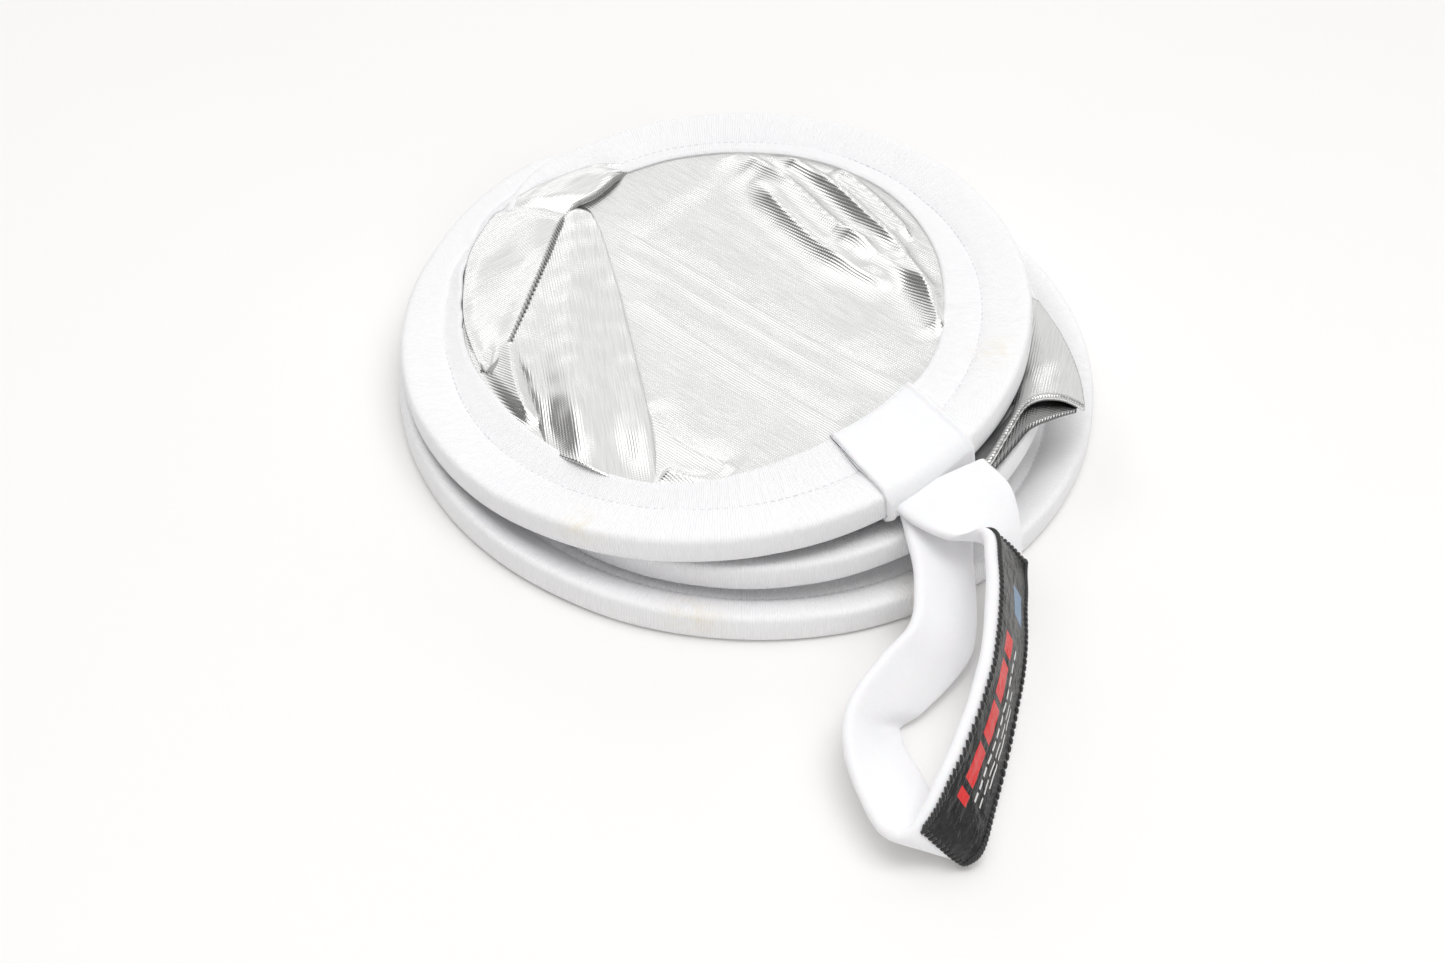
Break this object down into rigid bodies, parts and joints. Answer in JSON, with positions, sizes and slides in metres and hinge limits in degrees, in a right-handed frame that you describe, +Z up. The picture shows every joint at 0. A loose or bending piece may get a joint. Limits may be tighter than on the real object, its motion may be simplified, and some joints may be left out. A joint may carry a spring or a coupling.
{
  "type": "collapsible reflector disc",
  "caption": "Collapsible photographic reflector, a silver fabric disc on a sprung rim, folded into stacked loops with a soft hand strap on the rim.",
  "frame": {"origin": "on the surface it lies on, under the middle of the folded disc and strap together", "axes": "+Z up out of the stack, -Y towards the hand strap, +X to the right seen from the strap's side"},
  "size_m": [0.3019, 0.4119, 0.0594],
  "materials": {
    "binding": "white ribbed rim cloth, matt",
    "silver": "metallised silver knit, fine ribs, bright sheen",
    "steel": "tempered spring steel, satin",
    "thread": "white polyester thread",
    "fleece": "white brushed fleece, matt and fuzzy",
    "label": null,
    "black_thread": "black overlock thread"
  },
  "bodies": {
    "bottom_loop": {"rim_binding_bottom": "binding", "spring_band_bottom": "steel", "seam_thread_bottom": "thread", "reflector_fabric_bottom": "silver", "band_joint_sleeve": "steel"},
    "middle_loop": {"rim_binding_middle": "binding", "spring_band_middle": "steel", "seam_thread_middle": "thread", "reflector_fabric_middle": "silver", "fabric_fold": "silver"},
    "top_loop": {"rim_binding_top": "binding", "spring_band_top": "steel", "seam_thread_top": "thread", "reflector_fabric_top": "silver", "handle_cuff": "fleece"},
    "handle": {"handle_collar": "fleece", "handle_strap": "fleece", "label_patch": "label", "label_stitching_upper": "black_thread", "label_stitching_lower": "black_thread"}
  },
  "joints": [
    {"name": "middle_loop_fan", "type": "hinge", "parent": "bottom_loop", "child": "middle_loop", "pos_m": [-0.1078, 0.1628, 0.012], "axis": [-0.7071, -0.7071, 0], "range_deg": [0, 12]},
    {"name": "top_loop_fan", "type": "hinge", "parent": "middle_loop", "child": "top_loop", "pos_m": [-0.1078, 0.1628, 0.012], "axis": [-0.7071, -0.7071, 0], "range_deg": [0, 12]},
    {"name": "handle_swing", "type": "hinge", "parent": "top_loop", "child": "handle", "pos_m": [0.08432, -0.05088, 0.04673], "axis": [-0.7233, -0.6837, -0.0973], "range_deg": [0, 90]}
  ],
  "couplings": [
    {"joint": "top_loop_fan", "follows": "middle_loop_fan", "ratio": 1}
  ]
}
